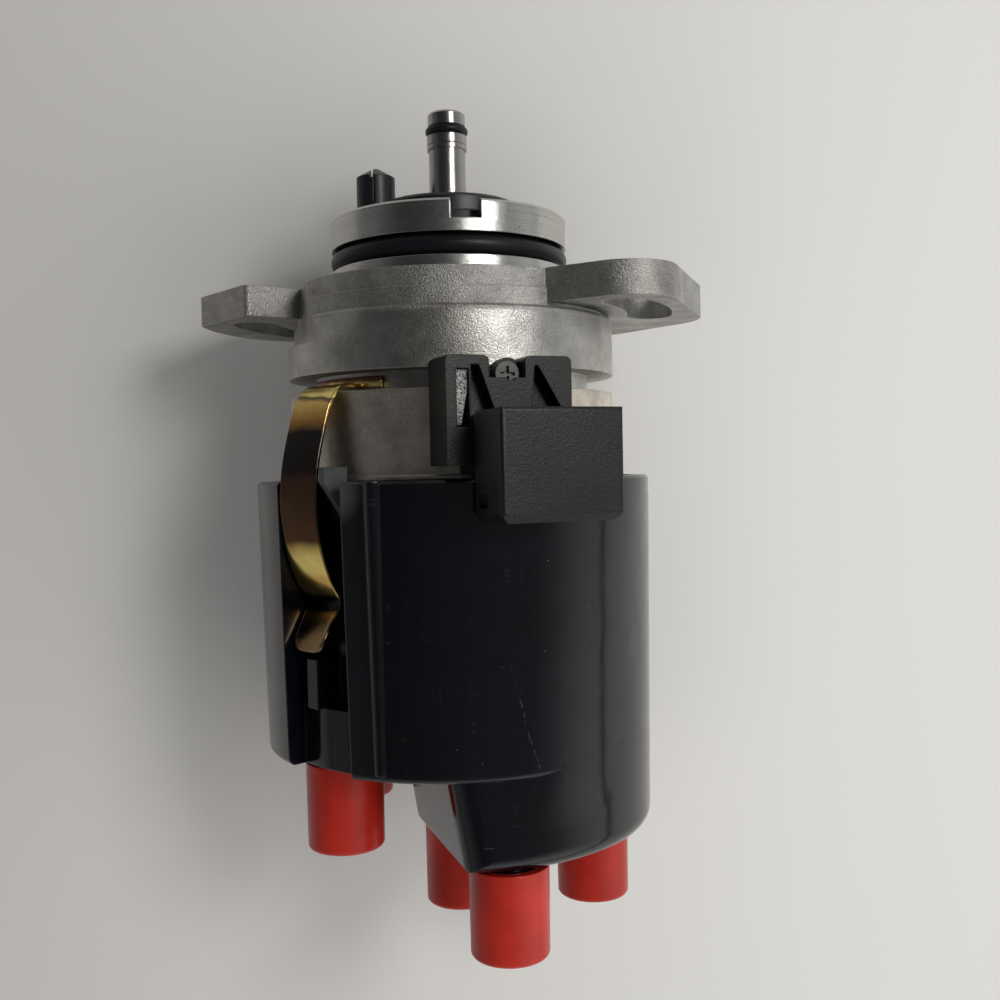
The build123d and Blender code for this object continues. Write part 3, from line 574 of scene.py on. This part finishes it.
def spring_clip(name, azimuth, body):
    """One clip: the sprung strip and its foot, which stand for the plain bent node."""
    strip = finish(f"{name}_strip", turned(clip_strip(), azimuth), GOLD, body,
                   (name,), 60)
    smooth = strip.modifiers.new("smooth", "SUBSURF")
    smooth.levels = smooth.render_levels = 1
    thick = strip.modifiers.new("thickness", "SOLIDIFY")
    thick.thickness = CLIP_THICKNESS * MM
    thick.offset = 0
    edges = strip.modifiers.new("edges", "BEVEL")
    edges.width = 0.2 * MM
    edges.segments = 2
    edges.limit_method = "ANGLE"
    edges.angle_limit = radians(50)
    finish(f"{name}_foot", turned(clip_head(), azimuth), GOLD, body)


spring_clip("spring_clip_front", CLIP_AZIMUTH, "clip_front")
spring_clip("spring_clip_rear", CLIP_AZIMUTH + pi, "clip_rear")

# ---------------------------------------------------------------- cap

BOSS_R = 9.2
WALL_DRAFT = 0.156
WALL_ANGLE = radians(16)
DEEP_END = -114.3
DEEP_OFFSET = 2.55
DEEP_R = 38.45
DEEP_DRAFT = 0.0107
CORNER_R = 6.5
CORNER_CUT = (-96.35, -118.0)
SHALLOW_R = 40.5
SHALLOW_DRAFT = 0.0217
SHALLOW_END = -96.3
BLEND_HALF_ANGLE = 84.0
BLEND_STEPS = 96
BLEND_FADE = (80, 20)       # degrees from the middle where the blend ends, and its run-out
BLEND_DROP = (-108.8, 13.6)  # height where the blend ends, and its length
BLEND_HEIGHTS = [-92.6, -94.4, -95.3, -96.2, -97.4, -98.6, -100.0, -101.6, -103.4, -105.2,
                 -107.0, -108.8]
BLEND_THICKNESS = 0.8


def deep_radius(z):
    """Radius of the deep end about its own axis."""
    return DEEP_R + DEEP_DRAFT * (z - DEEP_END)


def corner_outline(z):
    """What the rounding takes off where a side wall meets the deep end's skirt."""
    boss = BOSS_R + WALL_DRAFT * (z - DEEP_END)
    skirt = deep_radius(z)
    along = Vector((sin(WALL_ANGLE), -cos(WALL_ANGLE)))
    inward = Vector((cos(WALL_ANGLE), sin(WALL_ANGLE)))
    axis = Vector((DEEP_OFFSET, 0))
    start = -boss * inward + CORNER_R * inward - axis
    half = start.dot(along)
    reach = -half + sqrt(half ** 2 - start.length_squared + (skirt - CORNER_R) ** 2)
    centre = start + axis + reach * along
    out = (centre - axis).normalized()
    first = degrees(atan2(-inward.y, -inward.x)) % 360
    last = degrees(atan2(out.y, out.x)) % 360
    rounding = arc(CORNER_R, first, last, 13, centre)
    return rounding + [tuple(centre + out * (CORNER_R + 4)),
                       tuple(centre - inward * 12 + out * 16),
                       tuple(centre - inward * (CORNER_R + 4))]


def corner_cutter(side):
    """The cutter for one of the two upright corners of the deep end."""
    mesh = bmesh.new()
    rings = []
    for z in CORNER_CUT:
        corners = [mesh.verts.new((x, y * side, z)) for x, y in corner_outline(z)]
        rings.append(mesh.faces.new(corners))
    edges = [e for face in rings for e in face.edges]
    bmesh.ops.bridge_loops(mesh, edges=edges)
    bmesh.ops.recalc_face_normals(mesh, faces=mesh.faces)
    return mesh


def skirt_blend():
    """The skirt's smooth run from the shallow rim down over the right of the deep end."""
    first, last = -BLEND_HALF_ANGLE, BLEND_HALF_ANGLE
    mesh = wire([(40.0, z) for z in BLEND_HEIGHTS])
    bmesh.ops.rotate(mesh, verts=mesh.verts, cent=(0, 0, 0),
                     matrix=Matrix.Rotation(radians(first), 3, "Z"))
    bmesh.ops.spin(mesh, geom=mesh.verts[:] + mesh.edges[:], cent=(0, 0, 0), axis=(0, 0, 1),
                   dvec=(0, 0, 0), angle=radians(last - first), steps=BLEND_STEPS,
                   use_merge=False, use_duplicate=False)
    for vert in mesh.verts:
        turn = atan2(vert.co.y, vert.co.x)
        z = vert.co.z
        beside = DEEP_OFFSET * sin(turn)
        deep = DEEP_OFFSET * cos(turn) + sqrt(deep_radius(z) ** 2 - beside ** 2)
        shallow = SHALLOW_R + SHALLOW_DRAFT * (z - SHALLOW_END)
        fade = eased((BLEND_FADE[0] - abs(degrees(turn))) / BLEND_FADE[1])
        drop = eased((z - BLEND_DROP[0]) / BLEND_DROP[1])
        proud = -0.03 if z > -93 else 0.02 * fade * drop - 0.05 * (1 - fade * drop)
        out = max(deep, deep + (shallow - deep) * fade * drop) + proud
        vert.co.x, vert.co.y = out * cos(turn), out * sin(turn)
    bmesh.ops.recalc_face_normals(mesh, faces=mesh.faces)
    outward = sum(f.normal.xy.dot(f.calc_center_median().xy) for f in mesh.faces)
    if outward < 0:
        bmesh.ops.reverse_faces(mesh, faces=mesh.faces)
    bmesh.ops.solidify(mesh, geom=mesh.verts[:] + mesh.edges[:] + mesh.faces[:],
                       thickness=BLEND_THICKNESS)
    return mesh


def cap():
    """The cap with its deep end's corners rounded and its skirt run together."""
    mesh = copied("distributor_cap")
    for side in (1, -1):
        mesh = cut_by(mesh, corner_cutter(side))
    shell = finish("distributor_cap_moulding", mesh, CAP_BLACK, "distributor_body",
                   ("distributor_cap",), 32, turn_out=False)
    shade_evenly(shell)
    finish("distributor_cap_skirt", skirt_blend(), CAP_BLACK, "distributor_body",
           (), 60)


cap()

# ---------------------------------------------------------------- plug

PLUG_FRONT = 55.0
PLUG_SIDES = (-11.45, 12.0)
PLUG_TOP = -28.0
PLUG_CORNER_R = 1.3
PLUG_CUT_START = PLUG_FRONT - 12.6
PLUG_CUT_LENGTH = 12        # it ends 0.6 short of the front face, whose own corners stay sharp


def plug():
    """The side plug with the upper corners of its box rounded off behind its front face."""
    mesh = turned(copied("plug_housing"), -PLUG_AZIMUTH)
    for side in PLUG_SIDES:
        sign = 1 if side > 0 else -1
        y, z = side - sign * PLUG_CORNER_R, PLUG_TOP - PLUG_CORNER_R
        rounding = [(y + sign * PLUG_CORNER_R * cos(radians(a)),
                     z + PLUG_CORNER_R * sin(radians(a))) for a in range(0, 91, 10)]
        outline = rounding + [(y, PLUG_TOP + 1), (side + sign, PLUG_TOP + 1), (side + sign, z)]
        mesh = cut_by(mesh, bar(outline, PLUG_CUT_START, PLUG_CUT_LENGTH))
    body = finish("plug_housing_moulding", turned(mesh, PLUG_AZIMUTH), PLUG_GREY,
                  "distributor_body", ("plug_housing",), 32, turn_out=False)
    shade_evenly(body)


plug()


def window_metal():
    """Bare casting that shows in the window of the plug's left lug."""
    outline = [(-13.65, -20.5), (-11.35, -20.5), (-11.35, -24.0), (-12.6, -30.6), (-13.65, -30.6)]
    mesh = soften(bar(outline, 34.7, 4.6), 0.15)
    finish("plug_window_metal", turned(mesh, PLUG_AZIMUTH), ROUGH_CAST, "distributor_body")


window_metal()

# ---------------------------------------------------------------- camera, light, floor

camera = bpy.data.objects.new("camera", bpy.data.cameras.new("camera"))
camera.data.lens = 40.947
camera.data.sensor_width = 36
camera.location = (0, -0.03836, 0.24667)
camera.rotation_euler = [radians(a) for a in (-1.5795, -2.3278, -1.1710)]
bpy.context.scene.collection.objects.link(camera)
bpy.context.scene.camera = camera
bpy.context.scene.view_settings.view_transform = "Standard"

FLOOR_Z = -0.0419
FLOOR_PAINTED_LIGHT_RUN = (-130, 90)     # millimetres across, from the dark side to the pale one, over which light is painted into the floor's colour


def floor():
    """A wide plain sheet, seen from above only, with painted light: paler toward the lit side."""
    mesh = bmesh.new()
    bmesh.ops.create_grid(mesh, x_segments=1, y_segments=1, size=3,
                          matrix=Matrix.Translation((0, 0, FLOOR_Z)))
    data = bpy.data.meshes.new("floor")
    mesh.to_mesh(data)
    sheet = bpy.data.objects.new("floor", data)
    bpy.context.scene.collection.objects.link(sheet)
    paper = Finish("pale_paper", (0.68, 0.665, 0.64), 0.8)
    tree = paper.tree
    # Painted light: the sheet's colour runs from darker to paler toward the lit side.
    across = paper.step(paper.axis("X"), *FLOOR_PAINTED_LIGHT_RUN)
    paper.colour(paper.ramp(across, [(0.0, (0.65, 0.63, 0.605)), (1.0, (0.80, 0.79, 0.765))]))
    see_through = tree.nodes.new("ShaderNodeBsdfTransparent")
    facing = tree.nodes.new("ShaderNodeNewGeometry")
    choose = tree.nodes.new("ShaderNodeMixShader")
    paper.link(facing.outputs["Backfacing"], choose.inputs[0])
    paper.link(paper.shader.outputs[0], choose.inputs[1])
    paper.link(see_through.outputs[0], choose.inputs[2])
    paper.link(choose.outputs[0], tree.nodes["Material Output"].inputs["Surface"])
    data.materials.append(paper.material)


floor()


def lamp(name, place, target, size, power, colour, mirrored=True):
    """A soft square lamp aimed at a point, seen in glossy surfaces or only lighting them."""
    light = bpy.data.lights.new(name, "AREA")
    light.size = size
    light.energy = power
    light.color = colour
    holder = bpy.data.objects.new(name, light)
    holder.location = place
    aim = Vector(target) - Vector(place)
    holder.rotation_euler = aim.to_track_quat("-Z", "Y").to_euler()
    holder.visible_glossy = mirrored
    bpy.context.scene.collection.objects.link(holder)


lamp("ceiling", (0.34, 0.17, 0.56), (0, -0.04, 0), 0.20, 1.75, (1.0, 0.99, 0.96))
lamp("window", (0.56, -0.34, 0.56), (0, -0.04, 0), 0.80, 3.6, (1.0, 0.99, 0.97), mirrored=False)
lamp("fill", (-0.30, -0.50, 0.70), (-0.04, -0.10, 0), 0.70, 1.4, (1.0, 1.0, 1.0), mirrored=False)


def room():
    """The room's dim light: paler low down and on the right, dark overhead."""
    world = bpy.data.worlds.new("room")
    bpy.context.scene.world = world
    world.use_nodes = True
    tree = world.node_tree
    direction = tree.nodes.new("ShaderNodeTexCoord").outputs["Generated"]
    split = tree.nodes.new("ShaderNodeSeparateXYZ")
    tree.links.new(direction, split.inputs[0])
    levels = []
    for source, low, high, first, last in (
            ("X", -1.0, 1.0, 0.14, 0.50), ("Y", -1.0, 0.6, 2.2, 0.9), ("Z", 0.15, 0.75, 1.0, 0.20)):
        level = tree.nodes.new("ShaderNodeMapRange")
        level.interpolation_type = "SMOOTHSTEP"
        level.inputs["From Min"].default_value = low
        level.inputs["From Max"].default_value = high
        level.inputs["To Min"].default_value = first
        level.inputs["To Max"].default_value = last
        tree.links.new(split.outputs[source], level.inputs["Value"])
        levels.append(level.outputs["Result"])
    product = levels[0]
    for level in levels[1:]:
        times = tree.nodes.new("ShaderNodeMath")
        times.operation = "MULTIPLY"
        tree.links.new(product, times.inputs[0])
        tree.links.new(level, times.inputs[1])
        product = times.outputs[0]
    backdrop = tree.nodes["Background"]
    backdrop.inputs["Color"].default_value = (0.97, 0.99, 1.0, 1)
    tree.links.new(product, backdrop.inputs["Strength"])


room()
